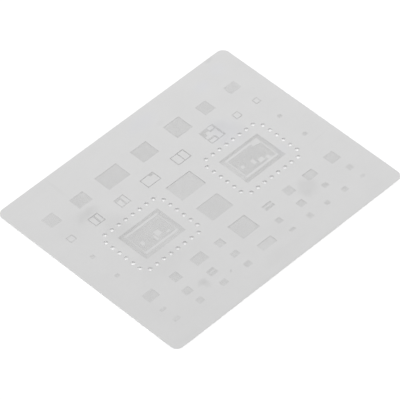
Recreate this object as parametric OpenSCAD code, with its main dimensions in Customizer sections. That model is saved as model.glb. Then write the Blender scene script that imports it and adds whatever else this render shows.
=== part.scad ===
// Solder paste stencil: one flat steel foil, laser-cut with fields of fine
// apertures. Each field lies over the pads of one chip, and paste is spread
// across the top face and pushed down through the apertures.
//
// The origin is at the centre of the underside. +X runs along the long side,
// +Y along the short side and +Z out of the face that the paste is spread on.

/* [Sheet] */
// Length of the sheet, along X
sheet_l = 100; // [94:1:130]
// Width of the sheet, along Y
sheet_w = 80; // [74:1:110]
// Thickness of the foil
sheet_t = 0.12; // [0.08:0.01:0.3]
// Radius of the sheet's corners
corner_r = 2.7; // [1:0.1:6]

/* [Apertures] */
// Distance between the centres of neighbouring apertures
pitch = 1.1; // [1:0.05:1.6]
// Diameter of one aperture
aperture_d = 0.6; // [0.3:0.05:0.65]

/* [Layout] */
// Length of sheet that the lists of patterns are spread over, along X
layout_l = 100; // [92:1:110]

/* [Large chip patterns] */
// Length of the pattern, along X
chip_l = 17.2; // [15:0.1:19]
// Width of the pattern, along Y
chip_w = 12.8; // [11:0.1:14]
// Width of the band of apertures round the pattern's edge
chip_band = 1.9; // [1.5:0.1:2.4]
// Width of the bare ring between the band and the core
chip_moat = 0.7; // [0.3:0.1:1.5]
// Size of the bare corners of the core
chip_chamfer = 1.2; // [0:0.1:2]
// Distance from the sheet's centre to the left pattern's centre, along X
left_chip_x = 22.1; // [21:0.1:24]
// Distance from the sheet's centre to the right pattern's centre, along X
right_chip_x = 22.2; // [21:0.1:24]
// Height of both patterns' centres on the sheet, along Y
chip_y = -0.7; // [-2:0.1:1]

/* [Relief holes] */
// Diameter of a relief hole
relief_d = 1.4; // [0.8:0.1:2]
// Distance between the centres of neighbouring relief holes
relief_pitch = 3; // [2.6:0.1:3.1]
// Number of holes along each long side of a ring
relief_long_count = 8; // [4:1:8]
// Number of holes along each short side of a ring
relief_short_count = 6; // [3:1:6]
// Distance from the edge of the large pattern to the holes beside it, along X
relief_gap_x = 3.9; // [2:0.05:4.2]
// Distance from the edge of the large pattern to the holes beside it, along Y
relief_gap_y = 3.6; // [2:0.05:4]

/* [Rows of small patterns] */
// Height of the row of full patterns along the top, along Y
top_row_y = 25.4; // [25:0.1:30]
// Height of the row of outlined patterns, along Y
outline_row_y = 15.7; // [15.5:0.1:17]
// Height of the upper of the three bottom rows, along Y
upper_row_y = -18.5; // [-19:0.1:-18]
// Height of the middle one of the three bottom rows, along Y
middle_row_y = -25.1; // [-25.5:0.1:-24.5]
// Height of the lower of the three bottom rows, along Y
lower_row_y = -30.7; // [-33:0.1:-30]
// Width of the line of apertures round an outlined pattern
outline_band = 0.8; // [0.5:0.1:1]

/* [Hidden] */

steel_colour = [0.74, 0.75, 0.76];
hole_facets = 20;
corner_facets = 64;

// The lists below are in hundredths of the layout's length.
layout_unit = layout_l / 100;

// A full pattern is [x, length, width].
top_row = layout_unit * [
    [-39.9, 4.6, 4.8], [-27.7, 5.7, 4.8], [-14.0, 9.3, 6.8], [0.4, 6.9, 6.3],
    [15.2, 6.9, 6.6], [27.2, 4.6, 4.8], [39.5, 4.7, 3.7]
];
upper_row = layout_unit * [
    [-40.0, 4.5, 3.8], [-29.4, 3.1, 3.3], [-19.1, 5.0, 3.7], [-10.1, 2.8, 2.9],
    [11.3, 3.8, 2.4], [20.4, 3.3, 3.3], [29.8, 4.3, 3.3], [39.9, 4.0, 4.1]
];
middle_row = layout_unit * [
    [-41.3, 2.3, 1.2], [-30.8, 2.9, 2.6], [-20.1, 3.1, 2.6], [-10.0, 2.8, 2.2],
    [9.3, 2.1, 2.2], [19.3, 2.6, 2.5], [30.0, 2.1, 1.9], [40.8, 2.0, 2.1]
];
lower_row = layout_unit * [
    [-40.9, 2.6, 1.5], [-30.7, 2.3, 2.2], [-20.6, 2.6, 2.1], [-10.1, 2.5, 2.1],
    [9.6, 2.4, 1.1], [17.5, 2.0, 2.2], [25.1, 1.8, 1.6], [33.0, 2.1, 1.9], [41.0, 1.9, 1.2]
];
// A pattern of the middle column is [x, y, length, width].
centre_column = layout_unit * [
    [-0.6, 6.0, 10.5, 7.5], [-0.6, -6.8, 9.2, 7.4], [-0.2, -19.1, 7.3, 7.0], [0, -29.0, 6.1, 3.1]
];
// A small square pattern at the sides is [x, y].
side_spots = layout_unit * [[-41.5, 5.6], [-41.5, -5.3], [41.2, 5.8], [41.2, -5.3]];
side_spot_size = layout_unit * 1.4;
// An outlined pattern is [x, length, width, the blocks of apertures inside it], and
// a block is [x, y, length, width] from the pattern's centre.
outline_row = layout_unit * [
    [-40.9, 2.7, 2.6, []],
    [-30.0, 4.2, 4.1, [[0.2, -0.1, 1.4, 1.4]]],
    [-19.0, 4.2, 4.1, [[0.5, 0, 0.8, 4.1]]],
    [-6.6, 5.8, 4.2, [[1.9, 1.1, 1.2, 1.1]]],
    [6.7, 5.8, 4.2, [[0, 0, 1.2, 4.2]]],
    [20.8, 6.2, 6.3, [[-1.8, 1.9, 1.9, 1.8], [1.4, 0.9, 3.2, 0.9], [-1.8, -1.8, 1.9, 1.5]]],
    [32.0, 2.7, 2.7, []],
    [40.8, 2.2, 2.4, []]
];
// The bare spots in the core of each large pattern, as [x, y, length, width] from its centre.
left_chip_spots = layout_unit * [
    [1.7, -0.9, 2, 2], [-0.4, -2.1, 1, 2.1], [-4.9, -1, 0.9, 0.9], [4.1, -3, 1.2, 1]
];
right_chip_spots = layout_unit * [
    [1.3, -2.4, 2, 2.4], [-1, -1.3, 1, 2.1], [-5, -0.6, 0.9, 0.9], [3.8, -3, 1, 1.6]
];

relief_ring_l = chip_l / 2 + relief_gap_x;
relief_ring_w = chip_w / 2 + relief_gap_y;
core_l = chip_l - 2 * (chip_band + chip_moat);
core_w = chip_w - 2 * (chip_band + chip_moat);

// The number of apertures that fit along a length, and the place of one of them
function count_along(length) = max(1, round(length / pitch));
function place_along(length, i) = (i + 0.5) * length / count_along(length) - length / 2;

// Whether a point lies in one of the boxes [x, y, length, width]
function in_boxes(x, y, boxes) =
    len([for (b = boxes) if (abs(x - b[0]) < b[2] / 2 && abs(y - b[1]) < b[3] / 2) b]) > 0;

// Whether a point of a pattern lies within a band along the pattern's edge
function in_band(x, y, length, width, band) =
    abs(x) > length / 2 - band || abs(y) > width / 2 - band;

// Whether a point lies in one of the triangles that the chamfers take off a rectangle
function in_chamfer(x, y, length, width, chamfer) =
    abs(x) + abs(y) > (length + width) / 2 - chamfer;

module aperture() {
    circle(d = aperture_d, $fn = hole_facets);
}

// A rectangle filled with evenly spaced apertures
module full_pattern(length, width) {
    for (i = [0 : count_along(length) - 1])
        for (j = [0 : count_along(width) - 1])
            translate([place_along(length, i), place_along(width, j)])
                aperture();
}

// Apertures along the edge of a rectangle, and in the blocks inside it
module outlined_pattern(length, width, blocks) {
    for (i = [0 : count_along(length) - 1])
        for (j = [0 : count_along(width) - 1]) {
            x = place_along(length, i);
            y = place_along(width, j);
            if (in_band(x, y, length, width, outline_band) || in_boxes(x, y, blocks))
                translate([x, y])
                    aperture();
        }
}

// The core of a large pattern: chamfered at its corners and left bare at some spots
module chip_core(spots) {
    for (i = [0 : count_along(core_l) - 1])
        for (j = [0 : count_along(core_w) - 1]) {
            x = place_along(core_l, i);
            y = place_along(core_w, j);
            if (!in_chamfer(x, y, core_l, core_w, chip_chamfer) && !in_boxes(x, y, spots))
                translate([x, y])
                    aperture();
        }
}

// The band of apertures round the edge of a large pattern
module chip_rim() {
    for (i = [0 : count_along(chip_l) - 1])
        for (j = [0 : count_along(chip_w) - 1]) {
            x = place_along(chip_l, i);
            y = place_along(chip_w, j);
            if (in_band(x, y, chip_l, chip_w, chip_band))
                translate([x, y])
                    aperture();
        }
}

// The ring of larger holes that lets the foil give round a large pattern. Its corners are bare.
module relief_ring() {
    for (side = [-1, 1]) {
        for (i = [0 : relief_long_count - 1])
            translate([(i - (relief_long_count - 1) / 2) * relief_pitch, side * relief_ring_w])
                circle(d = relief_d, $fn = hole_facets);
        for (j = [0 : relief_short_count - 1])
            translate([side * relief_ring_l, (j - (relief_short_count - 1) / 2) * relief_pitch])
                circle(d = relief_d, $fn = hole_facets);
    }
}

module large_pattern(spots) {
    chip_rim();
    chip_core(spots);
    relief_ring();
}

module row_of_patterns(row, y) {
    for (p = row)
        translate([p[0], y])
            full_pattern(p[1], p[2]);
}

module row_of_outlines(row, y) {
    for (p = row)
        translate([p[0], y])
            outlined_pattern(p[1], p[2], p[3]);
}

// Every hole in the sheet, as a flat drawing
module all_holes() {
    row_of_patterns(top_row, top_row_y);
    row_of_outlines(outline_row, outline_row_y);
    row_of_patterns(upper_row, upper_row_y);
    row_of_patterns(middle_row, middle_row_y);
    row_of_patterns(lower_row, lower_row_y);
    for (p = centre_column)
        translate([p[0], p[1]])
            full_pattern(p[2], p[3]);
    for (p = side_spots)
        translate(p)
            full_pattern(side_spot_size, side_spot_size);
    translate([-left_chip_x, chip_y])
        large_pattern(left_chip_spots);
    translate([right_chip_x, chip_y])
        large_pattern(right_chip_spots);
}

// The outline of the sheet, with true arcs at its corners
module sheet_outline() {
    square([sheet_l - 2 * corner_r, sheet_w], center = true);
    square([sheet_l, sheet_w - 2 * corner_r], center = true);
    for (x = [-1, 1])
        for (y = [-1, 1])
            translate([x * (sheet_l / 2 - corner_r), y * (sheet_w / 2 - corner_r)])
                circle(r = corner_r, $fn = corner_facets);
}

module stencil_sheet() {
    color(steel_colour)
        linear_extrude(height = sheet_t)
            difference() {
                sheet_outline();
                all_holes();
            }
}

stencil_sheet();
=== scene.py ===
import math

import bmesh
import bpy
from mathutils import Matrix, Vector


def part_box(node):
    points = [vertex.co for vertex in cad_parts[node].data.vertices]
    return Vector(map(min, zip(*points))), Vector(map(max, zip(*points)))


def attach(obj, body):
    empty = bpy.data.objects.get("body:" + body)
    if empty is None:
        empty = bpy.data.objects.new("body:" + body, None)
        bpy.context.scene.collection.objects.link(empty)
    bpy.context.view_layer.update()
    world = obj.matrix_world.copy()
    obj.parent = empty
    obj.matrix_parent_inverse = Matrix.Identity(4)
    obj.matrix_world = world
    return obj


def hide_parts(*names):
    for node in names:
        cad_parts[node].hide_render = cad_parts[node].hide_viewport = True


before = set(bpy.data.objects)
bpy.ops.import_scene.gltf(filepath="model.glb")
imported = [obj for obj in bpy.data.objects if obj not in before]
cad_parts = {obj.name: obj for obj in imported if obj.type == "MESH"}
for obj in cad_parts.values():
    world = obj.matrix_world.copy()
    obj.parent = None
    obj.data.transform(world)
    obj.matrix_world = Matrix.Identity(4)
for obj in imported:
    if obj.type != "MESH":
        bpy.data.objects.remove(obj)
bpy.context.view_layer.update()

mm = 0.001
sheetLow, sheetHigh = (Vector(corner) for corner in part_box("stencil_sheet"))
sheetLength, sheetWidth, sheetThickness = sheetHigh - sheetLow

cameraView = {
    "azimuth": -43.8,  # degrees round the sheet, 0 looks along +Y
    "elevation": 48.1,  # degrees above the floor
    "roll": -1.5,  # degrees, turns the view
    "distance": 1.299,
    "aim": (-1.7 * mm, -1.4 * mm, 0.0),
    "lens": 374.6,  # in mm, as is the sensor
    "sensorWidth": 36,
    "clip": (0.05, 20),
}


def facingSheet(values):
    # where a camera or a lamp stands, turned towards the sheet
    azimuth = math.radians(values["azimuth"])
    elevation = math.radians(values["elevation"])
    outward = Vector((
        math.sin(azimuth) * math.cos(elevation),
        -math.cos(azimuth) * math.cos(elevation),
        math.sin(elevation),
    ))
    roll = Matrix.Rotation(math.radians(values.get("roll", 0)), 3, "Z")
    turn = outward.to_track_quat("Z", "Y").to_matrix() @ roll
    aim = Vector(values.get("aim", (0, 0, 0)))
    return Matrix.Translation(aim + outward * values["distance"]) @ turn.to_4x4()


def addCamera(values):
    optics = bpy.data.cameras.new("camera")
    optics.lens = values["lens"]
    optics.sensor_width = values["sensorWidth"]
    optics.clip_start, optics.clip_end = values["clip"]
    camera = bpy.data.objects.new("camera", optics)
    camera.matrix_world = facingSheet(values)
    bpy.context.scene.collection.objects.link(camera)
    bpy.context.scene.camera = camera


addCamera(cameraView)
print("camera placed")


def wire(tree, slot, value):
    # another node's output is linked to the slot, and a plain value is set on it
    if isinstance(value, bpy.types.NodeSocket):
        tree.links.new(value, slot)
    else:
        slot.default_value = value


def addMath(tree, operation, *values):
    node = tree.nodes.new("ShaderNodeMath")
    node.operation = operation
    for slot, value in zip(node.inputs, values):
        wire(tree, slot, value)
    return node.outputs[0]


studio = {
    "floorReach": 6.0,
    "floorCells": 90,
    "fineReach": 0.09,  # half length of the floor's finely meshed middle
    "widening": 15,  # odd; the higher it is, the more suddenly the cells widen further out
    "floorDrop": 0.04 * mm,
    "bow": 0.4 * mm,  # how much further the foil's middle stands off the table than its edges
    "bowPower": 4,  # 2 makes a plain arch, and more a flatter middle
    "floorColour": (0.88, 0.88, 0.88, 1),
    "floorLift": 0.17,  # what the floor adds to itself where it is seen or mirrored
    "worldStrength": 0.66,
    "lamps": {
        "back": {"azimuth": 140.0, "elevation": 36.0, "distance": 3.6, "size": 2.0, "power": 8.0},
        "side": {"azimuth": 60.0, "elevation": 60.0, "distance": 1.5, "size": 0.5, "power": 4.3},
        "left": {"azimuth": 212.0, "elevation": 52.0, "distance": 3.5, "size": 1.2, "power": 26.0},
    },
}


def whiteTable(values):
    material = bpy.data.materials.new("white table")
    material.use_nodes = True
    tree = material.node_tree
    shader = tree.nodes["Principled BSDF"]
    shader.inputs["Base Color"].default_value = values["floorColour"]
    shader.inputs["Roughness"].default_value = 1.0
    shader.inputs["Specular IOR Level"].default_value = 0.0
    shader.inputs["Emission Color"].default_value = (1, 1, 1, 1)
    path = tree.nodes.new("ShaderNodeLightPath")
    seen = addMath(tree, "MAXIMUM", path.outputs["Is Camera Ray"], path.outputs["Is Glossy Ray"])
    seenThrough = addMath(tree, "MAXIMUM", seen, path.outputs["Is Transmission Ray"])
    lift = addMath(tree, "MULTIPLY", seenThrough, values["floorLift"])
    wire(tree, shader.inputs["Emission Strength"], lift)
    return material


def addFloor(values):
    # the foil stays flat, so the table is hollowed under it; its grid is finest there
    bm = bmesh.new()
    cells, fine, power = values["floorCells"], values["fineReach"], values["bowPower"]
    bmesh.ops.create_grid(bm, x_segments=cells, y_segments=cells, size=1.0)
    for vert in bm.verts:
        x, y = (fine * t + (values["floorReach"] - fine) * t ** values["widening"] for t in vert.co.xy)
        across = max(0.0, 1 - (2 * x / sheetLength) ** power)
        along = max(0.0, 1 - (2 * y / sheetWidth) ** power)
        vert.co = (x, y, sheetLow.z - values["floorDrop"] - values["bow"] * across * along)
    mesh = bpy.data.meshes.new("floor")
    bm.to_mesh(mesh)
    bm.free()
    mesh.materials.append(whiteTable(values))
    floor = bpy.data.objects.new("floor", mesh)
    bpy.context.scene.collection.objects.link(floor)


def addWorld(values):
    world = bpy.data.worlds.new("studio")
    world.use_nodes = True
    background = world.node_tree.nodes["Background"]
    background.inputs["Color"].default_value = (1, 1, 1, 1)
    background.inputs["Strength"].default_value = values["worldStrength"]
    bpy.context.scene.world = world


def addLamp(name, values):
    lamp = bpy.data.lights.new(name, "AREA")
    lamp.shape = "SQUARE"
    lamp.size = values["size"]
    lamp.energy = values["power"]
    light = bpy.data.objects.new(name, lamp)
    light.matrix_world = facingSheet(values)
    bpy.context.scene.collection.objects.link(light)


addFloor(studio)
addWorld(studio)
for name, values in studio["lamps"].items():
    addLamp(name, values)
bpy.context.scene.view_settings.view_transform = "Standard"
print("studio lit")

sheetCut = {
    "cornerRadius": 2.7 * mm,
    "cornerSegments": 10,
    "edgeBreak": 0.012 * mm,
    "pitch": 0.4 * mm,  # between neighbouring apertures
    "chipSize": (17.2 * mm, 12.8 * mm),
    "chipBands": (1.6 * mm, 1.6 * mm, 1.6 * mm, 1.2 * mm),  # left, right, bottom and top
    "chipMoat": (0.4 * mm, 0.8 * mm),  # beside the core, and below and above it
    "chipPlaces": ((-22.1 * mm, -0.7 * mm), (22.2 * mm, -0.7 * mm)),
    "reliefHole": 1.4 * mm,
    "reliefPitch": 3.0 * mm,
    "reliefCounts": (8, 6),
    "reliefReach": (12.5 * mm, 10.0 * mm),
    "reliefSegments": 24,
    # apertures of the two large patterns, in mm: those in the left, right, bottom and top bands, in
    # the core and beside the core
    "chipApertures": ((0.165, 0.165, 0.14, 0.175, 0.155, 0.09), (0.135, 0.18, 0.18, 0.19, 0.175, 0.07)),
    # bare spots in the core of each large pattern, from its middle: x, y, length and width in mm
    "chipSpots": (
        ((1.8, -0.8, 2.0, 2.0), (-0.2, -2.1, 0.9, 1.8), (-4.8, -0.8, 1.3, 1.3), (4.3, -2.8, 1.1, 0.9)),
        (
            (1.4, -2.4, 2.0, 2.0), (-0.8, -1.3, 0.9, 1.9), (-4.9, -0.5, 1.3, 1.3), (4.0, -3.3, 1.2, 1.5),
            (5.4, 3.9, 2.8, 1.2), (6.0, 3.1, 1.2, 0.8),
        ),
    ),
    # full patterns, in mm: x, y, length and width, then the size of the square apertures inside,
    # along the left and bottom edges, and along the right and top ones
    "fullPatterns": (
        (-39.9, 25.5, 4.6, 4.8, 0.13, 0.13, 0.175), (-27.7, 25.2, 5.7, 4.8, 0.16, 0.165, 0.195),
        (-14.0, 25.2, 9.3, 6.8, 0.155, 0.17, 0.205), (0.4, 25.5, 6.9, 6.3, 0.16, 0.175, 0.22),
        (15.2, 25.5, 6.9, 6.6, 0.16, 0.19, 0.22), (27.2, 25.2, 4.6, 4.8, 0.15, 0.165, 0.185),
        (39.5, 25.3, 4.7, 3.7, 0.14, 0.145, 0.16),
        (-0.6, 6.0, 10.5, 7.5, 0.13, 0.14, 0.26), (-0.6, -6.8, 9.2, 7.4, 0.15, 0.155, 0.22),
        (-0.2, -19.1, 7.3, 7.0, 0.135, 0.16, 0.235), (0.0, -29.0, 6.1, 3.1, 0.11, 0.115, 0.21),
        (-41.5, 5.6, 1.5, 1.4, 0.13, 0.11, 0.175), (41.2, 5.8, 1.5, 1.4, 0.145, 0.165, 0.16),
        (-41.5, -5.3, 1.5, 1.4, 0.13, 0.13, 0.165), (41.2, -5.3, 1.5, 1.4, 0.155, 0.14, 0.185),
        (-40.0, -18.5, 4.5, 3.8, 0.13, 0.13, 0.165), (-29.4, -18.6, 3.1, 3.3, 0.145, 0.15, 0.21),
        (-19.1, -18.5, 5.0, 3.7, 0.15, 0.14, 0.205), (-10.1, -18.6, 2.8, 2.9, 0.135, 0.14, 0.23),
        (11.3, -18.5, 3.8, 2.4, 0.18, 0.175, 0.23), (20.4, -18.6, 3.3, 3.3, 0.15, 0.155, 0.185),
        (29.8, -18.7, 4.3, 3.3, 0.14, 0.15, 0.20), (39.9, -18.5, 4.0, 4.1, 0.155, 0.16, 0.195),
        (-41.3, -25.1, 2.3, 1.2, 0.12, 0.13, 0.13), (-30.8, -25.1, 2.9, 2.6, 0.13, 0.165, 0.18),
        (-20.1, -25.1, 3.1, 2.6, 0.165, 0.16, 0.17), (-10.0, -25.0, 2.8, 2.2, 0.13, 0.135, 0.185),
        (9.3, -25.1, 2.1, 2.2, 0.15, 0.155, 0.205), (19.3, -25.1, 2.6, 2.5, 0.14, 0.15, 0.235),
        (30.0, -25.1, 2.1, 1.9, 0.19, 0.175, 0.195), (40.8, -25.4, 2.0, 2.1, 0.145, 0.16, 0.165),
        (-40.9, -30.7, 2.6, 1.5, 0.09, 0.10, 0.09), (-30.7, -30.6, 2.3, 2.2, 0.12, 0.12, 0.155),
        (-20.6, -30.7, 2.6, 2.1, 0.135, 0.155, 0.18), (-10.1, -30.7, 2.5, 2.1, 0.16, 0.17, 0.195),
        (9.6, -30.7, 2.4, 1.1, 0.145, 0.13, 0.20), (17.5, -30.6, 2.0, 2.2, 0.135, 0.13, 0.155),
        (25.1, -30.7, 1.8, 1.6, 0.18, 0.195, 0.195), (33.0, -30.7, 2.1, 1.9, 0.165, 0.15, 0.20),
        (41.0, -30.7, 1.9, 1.2, 0.10, 0.12, 0.10),
    ),
    # outlined patterns, in mm: x, y, length and width, the apertures along the left and bottom edges
    # and inside, those along the right and top edges, then the blocks of apertures inside, from the
    # pattern's middle
    "outlinedPatterns": (
        (-40.9, 15.7, 2.7, 2.6, 0.17, 0.185, ()),
        (-30.0, 15.8, 4.2, 4.1, 0.22, 0.265, ((0.2, 0.0, 0.8, 4.0),)),
        (-19.0, 15.6, 4.2, 4.1, 0.185, 0.215, ((0.2, 0.0, 0.8, 4.0), (-1.0, 1.2, 1.6, 0.9))),
        (-6.6, 15.7, 5.8, 4.2, 0.245, 0.255, ((1.7, 1.2, 1.7, 0.8),)),
        (6.7, 15.7, 5.8, 4.2, 0.255, 0.285, ((0.2, 0.0, 0.4, 4.2),)),
        (20.8, 15.7, 6.2, 6.3, 0.205, 0.175, (
            (-1.3, 2.2, 2.8, 1.6), (-2.1, 1.2, 1.0, 2.0), (1.5, 1.0, 3.0, 0.8), (0.1, 2.2, 0.4, 2.0),
            (-1.4, -1.2, 2.8, 0.7), (0.1, -2.1, 0.8, 1.6), (2.7, 0.0, 0.4, 6.0),
        )),
        (32.0, 15.7, 2.7, 2.7, 0.215, 0.19, ()),
        (40.8, 15.7, 2.2, 2.4, 0.21, 0.20, ()),
    ),
    # boxes in which the apertures of full and large patterns grow or shrink: x, y, length and width
    # in mm, and the factor; the first box that holds an aperture counts
    "accents": (
        (-0.4, -6.6, 4.0, 3.0, 1.07), (-0.3, -8.9, 2.9, 0.4, 1.25), (-14.0, 22.8, 8.4, 0.4, 1.12),
        (-14.0, 28.4, 9.3, 0.4, 1.08), (-27.7, 27.4, 5.7, 0.4, 1.04), (-26.2, 25.0, 0.4, 3.2, 0.8),
        (-25.4, 25.0, 0.4, 3.2, 0.8), (-19.6, -25.2, 2.2, 0.4, 0.3), (11.3, -18.3, 3.9, 0.3, 0.3),
        (-29.4, -17.6, 2.2, 0.4, 0.8), (39.1, -18.0, 0.8, 0.8, 0.7), (40.9, -18.0, 0.8, 0.8, 0.7),
        (29.8, -17.3, 4.3, 0.6, 1.15), (31.0, -19.6, 1.8, 0.8, 1.12), (9.6, -30.7, 1.4, 0.6, 1.1),
        (-23.4, -2.9, 0.5, 1.1, 1.35), (-17.6, -4.5, 2.4, 0.4, 1.35), (-23.0, 3.5, 9.0, 0.4, 1.2),
        (28.3, 2.2, 0.5, 1.4, 1.3), (-13.9, 0.0, 0.6, 10.0, 1.1), (30.4, 0.0, 0.6, 10.0, 1.1),
        (-22.1, 5.2, 17.2, 0.5, 1.12), (22.2, 5.2, 17.2, 0.5, 1.12), (22.2, -6.1, 17.2, 0.5, 1.1),
        (22.5, -2.6, 0.5, 1.0, 1.35), (23.8, -4.5, 2.2, 0.4, 1.25),
    ),
}


def inBoxes(x, y, boxes):
    return any(abs(x - bx * mm) < bl * mm / 2 and abs(y - by * mm) < bw * mm / 2 for bx, by, bl, bw in boxes)


def growthAt(x, y):
    for *box, growth in sheetCut["accents"]:
        if inBoxes(x, y, (box,)):
            return growth
    return 1


def onFarEdge(u, v, length, width):
    # in the cells along the right or the top edge of a pattern
    return u > length / 2 - sheetCut["pitch"] or v > width / 2 - sheetCut["pitch"]


def onAnyEdge(u, v, length, width):
    return onFarEdge(abs(u), abs(v), length, width)


def countAlong(length):
    return max(1, round(length / sheetCut["pitch"]))


def addPattern(bm, place, length, width, apertureAt):
    # one grid of cells, in a steady order; apertureAt says how large the aperture of a cell is, or 0
    grid = bmesh.ops.create_grid(bm, x_segments=countAlong(length), y_segments=countAlong(width), size=0.5)
    bmesh.ops.transform(
        bm, verts=grid["verts"],
        matrix=Matrix.Translation((*place, 0)) @ Matrix.Diagonal((length, width, 1, 1)),
    )
    cells = {}
    for face in dict.fromkeys(face for vert in grid["verts"] for face in vert.link_faces):
        centre = face.calc_center_median()
        aperture = apertureAt(centre.x - place[0], centre.y - place[1])
        if aperture:
            cells[face] = aperture
    return cells


def addFullPatterns(bm):
    cells = {}
    for pattern in sheetCut["fullPatterns"]:
        x, y, length, width, inside, near, far = (value * mm for value in pattern)

        def apertureAt(u, v):
            aperture = inside
            if onFarEdge(u, v, length, width):
                aperture = far
            elif onAnyEdge(u, v, length, width):
                aperture = near
            return aperture * growthAt(x + u, y + v)

        cells.update(addPattern(bm, (x, y), length, width, apertureAt))
    return cells


def addOutlinedPatterns(bm):
    cells = {}
    for *pattern, blocks in sheetCut["outlinedPatterns"]:
        x, y, length, width, near, far = (value * mm for value in pattern)

        def apertureAt(u, v):
            if onFarEdge(u, v, length, width):
                return far
            isOpen = onAnyEdge(u, v, length, width) or inBoxes(u, v, blocks)
            return near if isOpen else 0

        cells.update(addPattern(bm, (x, y), length, width, apertureAt))
    return cells


def addChipPatterns(bm):
    # a band all round, a bare moat inside it, and a core with bare spots
    cells = {}
    length, width = sheetCut["chipSize"]
    leftBand, rightBand, bottomBand, topBand = sheetCut["chipBands"]
    besideCore, aboveCore = sheetCut["chipMoat"]
    for place, sizes, spots in zip(sheetCut["chipPlaces"], sheetCut["chipApertures"], sheetCut["chipSpots"]):
        left, right, bottom, top, core, beside = (size * mm for size in sizes)

        def apertureAt(u, v):
            fromLeft, fromRight = length / 2 + u, length / 2 - u
            fromBottom, fromTop = width / 2 + v, width / 2 - v
            if fromTop < topBand:
                aperture = top
            elif fromRight < rightBand:
                aperture = right
            elif fromBottom < bottomBand:
                aperture = bottom
            elif fromLeft < leftBand:
                aperture = left
            elif fromBottom < bottomBand + aboveCore or fromTop < topBand + aboveCore or inBoxes(u, v, spots):
                aperture = 0
            elif fromLeft < leftBand + besideCore or fromRight < rightBand + besideCore:
                aperture = beside
            else:
                aperture = core
            return aperture * growthAt(place[0] + u, place[1] + v)

        cells.update(addPattern(bm, place, length, width, apertureAt))
    return cells


def cutApertures(bm, cells):
    # any inset will do, because the new corners are then moved out to the aperture's size
    bmesh.ops.inset_individual(bm, faces=list(cells), thickness=sheetCut["pitch"] * 0.2)
    halfDiagonal = math.sqrt(0.5)
    for face, aperture in cells.items():
        centre = face.calc_center_bounds()
        for vert in face.verts:
            vert.co = centre + (vert.co - centre).normalized() * aperture * halfDiagonal
    rims = {edge for face in cells for edge in face.edges}
    bmesh.ops.delete(bm, geom=list(cells), context="FACES_ONLY")
    return rims


def addReliefRing(bm, place):
    countX, countY = sheetCut["reliefCounts"]
    reachX, reachY = sheetCut["reliefReach"]
    pitch = sheetCut["reliefPitch"]
    centres = []
    for side in (-1, 1):
        centres += [((i - (countX - 1) / 2) * pitch, side * reachY) for i in range(countX)]
        centres += [(side * reachX, (j - (countY - 1) / 2) * pitch) for j in range(countY)]
    for x, y in centres:
        bmesh.ops.create_circle(
            bm, cap_ends=False, radius=sheetCut["reliefHole"] / 2, segments=sheetCut["reliefSegments"],
            matrix=Matrix.Translation((place[0] + x, place[1] + y, 0)),
        )


def addOutline(bm):
    # a rectangle with rounded corners, left as bare edges
    outline = bmesh.ops.create_grid(bm, x_segments=1, y_segments=1, size=0.5)
    bmesh.ops.transform(bm, verts=outline["verts"], matrix=Matrix.Diagonal((sheetLength, sheetWidth, 1, 1)))
    bmesh.ops.delete(bm, geom=list(outline["verts"][0].link_faces), context="FACES_ONLY")
    bmesh.ops.bevel(
        bm, geom=outline["verts"], offset=sheetCut["cornerRadius"], segments=sheetCut["cornerSegments"],
        profile=0.5, affect="VERTICES", material=-1,
    )


def fillBareMetal(bm, rims):
    # every open edge but the aperture rims bounds the bare metal between the patterns
    edges = [edge for edge in bm.edges if len(edge.link_faces) < 2 and edge not in rims]
    bmesh.ops.triangle_fill(bm, use_beauty=True, use_dissolve=False, edges=edges, normal=(0, 0, 1))


def thicken(bm):
    top = bmesh.ops.extrude_face_region(bm, geom=list(bm.faces))
    risen = [item for item in top["geom"] if isinstance(item, bmesh.types.BMVert)]
    bmesh.ops.translate(bm, verts=risen, vec=(0, 0, sheetThickness))
    bmesh.ops.recalc_face_normals(bm, faces=bm.faces)


def onOutline(point):
    # the straight edges and the corner arcs all lie one corner radius off an inner rectangle
    radius = sheetCut["cornerRadius"]
    across = max(0.0, abs(point.x) - (sheetLength / 2 - radius))
    along = max(0.0, abs(point.y) - (sheetWidth / 2 - radius))
    slack = 0.98  # broken edges lie a little further in
    return math.hypot(across, along) > radius * slack


def onReliefRing(point):
    # outside a large pattern, but not further out than its ring of relief holes
    reachX, reachY = (reach + sheetCut["reliefHole"] for reach in sheetCut["reliefReach"])
    length, width = sheetCut["chipSize"]
    for x, y in sheetCut["chipPlaces"]:
        u, v = abs(point.x - x), abs(point.y - y)
        if u < reachX and v < reachY and (u > length / 2 or v > width / 2):
            return True
    return False


def breakEdges(bm):
    bm.normal_update()
    sharp = 1  # radians
    edges = [
        edge for edge in bm.edges
        if edge.calc_face_angle(0) > sharp and all(onOutline(vert.co) for vert in edge.verts)
    ]
    bmesh.ops.bevel(
        bm, geom=edges, offset=sheetCut["edgeBreak"], offset_type="OFFSET", affect="EDGES",
        segments=2, profile=0.5, material=-1,
    )


def markCutWalls(bm):
    # aperture walls take the darker cut-wall colour as painted shade in the apertures; the faces, the rim and
    # the relief-hole walls are the faces' steel, without it
    for face in bm.faces:
        isFlat = abs(face.normal.z) > 0.9
        isRim = all(onOutline(vert.co) for vert in face.verts)
        takesFaceSteel = isFlat or isRim or onReliefRing(face.calc_center_median())
        face.material_index = 0 if takesFaceSteel else 1


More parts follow.
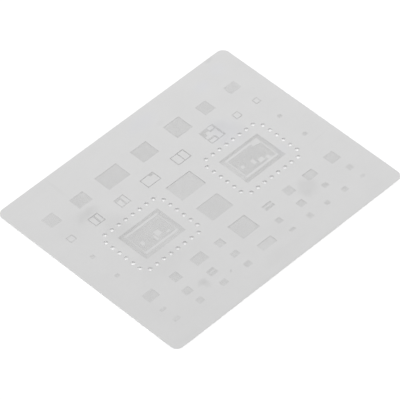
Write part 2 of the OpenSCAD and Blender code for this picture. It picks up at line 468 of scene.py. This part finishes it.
def addSheet():
    bm = bmesh.new()
    cells = {**addFullPatterns(bm), **addOutlinedPatterns(bm), **addChipPatterns(bm)}
    print(len(cells), "apertures")
    rims = cutApertures(bm, cells)
    for place in sheetCut["chipPlaces"]:
        addReliefRing(bm, place)
    addOutline(bm)
    fillBareMetal(bm, rims)
    thicken(bm)
    breakEdges(bm)
    markCutWalls(bm)
    bmesh.ops.translate(bm, verts=bm.verts, vec=(0, 0, sheetLow.z))
    mesh = bpy.data.meshes.new("stencil_foil")
    bm.to_mesh(mesh)
    triangles = sum(len(face.verts) - 2 for face in bm.faces)
    bm.free()
    foil = bpy.data.objects.new("stencil_foil", mesh)
    bpy.context.scene.collection.objects.link(foil)
    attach(foil, "root")
    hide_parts("stencil_sheet")
    print("foil cut,", triangles, "triangles")
    return foil


foil = addSheet()

satinSteel = {
    "colour": (0.663, 0.662, 0.662, 1),
    "roughness": 0.36,
    "grainLength": 8 * mm,
    "grainPitch": 0.12 * mm,
    "grainShade": 0.02,  # how much the rolling grain lightens and darkens the metal
    "grainRoughness": 0.05,
    "grainHeight": 0.0005 * mm,
    "cloudScale": 110.0,
    "cloudShade": 0.03,  # how much the broad clouding lightens and darkens it
    # the colour towards which the soiled spots and the painted shade band along the front edge darken the
    # metal
    "soilAndShade": (0.30, 0.30, 0.30, 1),
    "soilAndShadeRagged": 0.9,
    # soiled spots on the faces, and a band of painted shade along the front (−Y) edge: x, y, half length,
    # half width in mm, turn in degrees, and how dark
    "soilAndShadeSpots": (
        (-25.2, -25.9, 2.6, 1.7, 0, 0.16), (-24.6, -27.5, 1.7, 2.3, 5, 0.12),
        (25.4, -21.8, 5.0, 5.4, -20, 0.11), (23.8, -23.5, 2.6, 2.0, 0, 0.05),
        (-28.0, 8.5, 6.5, 11.0, 0, 0.08), (27.5, 10.0, 4.0, 8.0, 0, 0.05),
        (-30.9, 19.4, 5.6, 3.2, 5, 0.10), (-28.2, 19.4, 4.2, 3.0, -15, 0.06),
        (24.2, 16.0, 4.2, 4.6, 0, 0.07), (21.8, 11.4, 4.5, 2.2, 10, 0.05),
        (12.6, 30.8, 1.8, 1.5, 0, 0.05), (42.7, 39.2, 2.2, 1.1, 0, 0.12),
        (-15.8, -29.0, 1.0, 0.5, 35, 0.24), (-29.7, 34.0, 0.9, 7.5, 0, 0.04),
        (42.6, -9.5, 5.4, 0.3, 6, 0.05), (-37.0, 19.0, 9.0, 6.0, 0, 0.04),
        (-29.0, -10.0, 10.0, 8.0, 0, 0.05), (-20.0, -14.0, 12.0, 5.0, 0, 0.02),
        # the first spot here is no soil but painted shade: a faint darker band along the whole front (−Y)
        # edge
        (0.0, -39.5, 54.0, 0.7, 0, 0.05), (1.0, -35.5, 12.0, 4.5, 0, 0.04),
        (9.0, -27.0, 9.0, 6.0, 0, 0.02),
    ),
    "tint": (0.650, 0.655, 0.690, 1),
    "tintRagged": 0.8,
    # where heat or an old rinse left a faint blue tint: as above, and how strong
    "tintSpots": (
        (24.5, 13.0, 8.0, 9.5, 0, 0.38), (8.5, 35.0, 8.5, 4.5, 0, 0.32),
        (33.0, 32.5, 4.5, 3.0, 0, 0.35), (42.0, 34.5, 4.5, 4.0, 0, 0.28),
        (31.0, -5.0, 3.5, 3.5, 0, 0.28),
    ),
}
cutWall = {
    "colour": (0.52, 0.51, 0.49, 1),  # a little browner and darker than the faces; the darkness is painted shade in the apertures, which darkens the patterns
    "roughness": 0.5,
    "grainLength": 0.05 * mm,
    "grainPitch": 0.02 * mm,
    "grainShade": 0.2,
    "grainHeight": 0.002 * mm,
}


def addNoise(tree, vector, scale, detail, roughness=0.5):
    noise = tree.nodes.new("ShaderNodeTexNoise")
    noise.inputs["Scale"].default_value = scale
    noise.inputs["Detail"].default_value = detail
    noise.inputs["Roughness"].default_value = roughness
    tree.links.new(vector, noise.inputs["Vector"])
    return noise.outputs[0]


def addVectorMath(tree, operation, *values):
    node = tree.nodes.new("ShaderNodeVectorMath")
    node.operation = operation
    for slot, value in zip(node.inputs, values):
        wire(tree, slot, value)
    return node.outputs["Value" if operation == "LENGTH" else "Vector"]


def addMix(tree, amount, first, second):
    mix = tree.nodes.new("ShaderNodeMix")
    mix.data_type = "RGBA"
    for slot, value in ((mix.inputs[0], amount), (mix.inputs[6], first), (mix.inputs[7], second)):
        wire(tree, slot, value)
    return mix.outputs[2]


def addShade(tree, colour, value, strength):
    # lightens or darkens a colour by a value that swings about 0.5
    swing = addMath(tree, "MULTIPLY", addMath(tree, "SUBTRACT", value, 0.5), 2 * strength)
    shade = tree.nodes.new("ShaderNodeVectorMath")
    shade.operation = "SCALE"
    wire(tree, shade.inputs[0], colour)
    wire(tree, shade.inputs["Scale"], addMath(tree, "ADD", swing, 1.0))
    return shade.outputs[0]


def addGroup(name, inputs, output):
    group = bpy.data.node_groups.new(name, "ShaderNodeTree")
    for label, kind, value in inputs:
        group.interface.new_socket(name=label, in_out="INPUT", socket_type=kind).default_value = value
    group.interface.new_socket(name=output, in_out="OUTPUT", socket_type="NodeSocketFloat")
    return group, group.nodes.new("NodeGroupInput").outputs, group.nodes.new("NodeGroupOutput").inputs


def addEffect(tree, group, **settings):
    # places a node group in a material, with its own values
    effect = tree.nodes.new("ShaderNodeGroup")
    effect.node_tree = group
    for label, value in settings.items():
        wire(tree, effect.inputs[label], value)
    return effect.outputs[0]


def grainGroup():
    # long fine lines along the rolling direction, with a coarser set over them
    group, given, made = addGroup(
        "rolling grain",
        (
            ("Vector", "NodeSocketVector", (0, 0, 0)),
            ("Length", "NodeSocketFloat", 6 * mm),
            ("Pitch", "NodeSocketFloat", 0.15 * mm),
        ),
        "Lines",
    )
    apart = group.nodes.new("ShaderNodeSeparateXYZ")
    group.links.new(given["Vector"], apart.inputs[0])
    together = group.nodes.new("ShaderNodeCombineXYZ")
    for axis, size in (("X", "Length"), ("Y", "Pitch"), ("Z", "Pitch")):
        group.links.new(addMath(group, "DIVIDE", apart.outputs[axis], given[size]), together.inputs[axis])
    fine, coarse = (addNoise(group, together.outputs[0], scale, detail=2.0) for scale in (1.0, 0.25))
    wire(group, made["Lines"], addMath(group, "MULTIPLY", addMath(group, "ADD", fine, coarse), 0.5))
    return group


def spotGroup():
    # a soft spot with a ragged edge: 0 outside it, up to Strength at its middle
    group, given, made = addGroup(
        "soft spot",
        (
            ("Vector", "NodeSocketVector", (0, 0, 0)), ("Place", "NodeSocketVector", (0, 0, 0)),
            ("Reach", "NodeSocketVector", (1, 1, 1)), ("Turn", "NodeSocketFloat", 0.0),
            ("Ragged", "NodeSocketFloat", 0.5), ("Strength", "NodeSocketFloat", 1.0),
        ),
        "Amount",
    )
    turned = group.nodes.new("ShaderNodeVectorRotate")
    turned.rotation_type = "Z_AXIS"
    wire(group, turned.inputs["Vector"], addVectorMath(group, "SUBTRACT", given["Vector"], given["Place"]))
    wire(group, turned.inputs["Angle"], given["Turn"])
    fitted = addVectorMath(group, "DIVIDE", turned.outputs[0], given["Reach"])
    away = addVectorMath(group, "LENGTH", fitted)
    swing = addMath(group, "SUBTRACT", addNoise(group, fitted, scale=1.4, detail=3.0), 0.5)
    edge = group.nodes.new("ShaderNodeMapRange")
    edge.interpolation_type = "SMOOTHSTEP"
    edge.inputs["From Min"].default_value = 0.25  # full strength as far out as this share of its reach
    edge.inputs["From Max"].default_value = 1.0
    edge.inputs["To Min"].default_value = 1.0
    edge.inputs["To Max"].default_value = 0.0
    ragged = addMath(group, "ADD", away, addMath(group, "MULTIPLY", swing, given["Ragged"]))
    wire(group, edge.inputs["Value"], ragged)
    wire(group, made["Amount"], addMath(group, "MULTIPLY", edge.outputs[0], given["Strength"]))
    return group


def addSpots(tree, vector, group, spots, ragged):
    total = 0.0
    for x, y, reachX, reachY, turn, strength in spots:
        amount = addEffect(
            tree, group, Vector=vector, Place=(x * mm, y * mm, 0), Reach=(reachX * mm, reachY * mm, 1),
            Turn=-math.radians(turn), Ragged=ragged, Strength=strength,
        )
        total = addMath(tree, "ADD", total, amount)
    return total


def addMetal(name, values, grain):
    material = bpy.data.materials.new(name)
    material.use_nodes = True
    tree = material.node_tree
    shader = tree.nodes["Principled BSDF"]
    shader.inputs["Metallic"].default_value = 1.0
    shader.inputs["Roughness"].default_value = values["roughness"]
    place = tree.nodes.new("ShaderNodeTexCoord").outputs["Object"]
    lines = addEffect(tree, grain, Vector=place, Length=values["grainLength"], Pitch=values["grainPitch"])
    bump = tree.nodes.new("ShaderNodeBump")
    bump.inputs["Distance"].default_value = values["grainHeight"]
    tree.links.new(lines, bump.inputs["Height"])
    tree.links.new(bump.outputs[0], shader.inputs["Normal"])
    return material, tree, shader, place, lines


def satinSteelMaterial(values, grain, spot):
    material, tree, shader, place, lines = addMetal("satin steel", values, grain)
    tintAmount = addSpots(tree, place, spot, values["tintSpots"], values["tintRagged"])
    tinted = addMix(tree, tintAmount, values["colour"], values["tint"])
    # darkens the metal in soiled spots, and in a band of painted shade along the front edge
    soilAndShadeAmount = addSpots(tree, place, spot, values["soilAndShadeSpots"], values["soilAndShadeRagged"])
    soiledAndShaded = addMix(tree, soilAndShadeAmount, tinted, values["soilAndShade"])
    clouds = addNoise(tree, place, values["cloudScale"], detail=5.0, roughness=0.6)
    clouded = addShade(tree, soiledAndShaded, clouds, values["cloudShade"])
    wire(tree, shader.inputs["Base Color"], addShade(tree, clouded, lines, values["grainShade"]))
    swing = addMath(tree, "MULTIPLY", addMath(tree, "SUBTRACT", lines, 0.5), values["grainRoughness"])
    wire(tree, shader.inputs["Roughness"], addMath(tree, "ADD", swing, values["roughness"]))
    return material


def cutWallMaterial(values, grain):
    material, tree, shader, place, lines = addMetal("cut wall", values, grain)
    wire(tree, shader.inputs["Base Color"], addShade(tree, values["colour"][:3], lines, values["grainShade"]))
    return material


grain = grainGroup()
foil.data.materials.append(satinSteelMaterial(satinSteel, grain, spotGroup()))
foil.data.materials.append(cutWallMaterial(cutWall, grain))
print("steel finished")
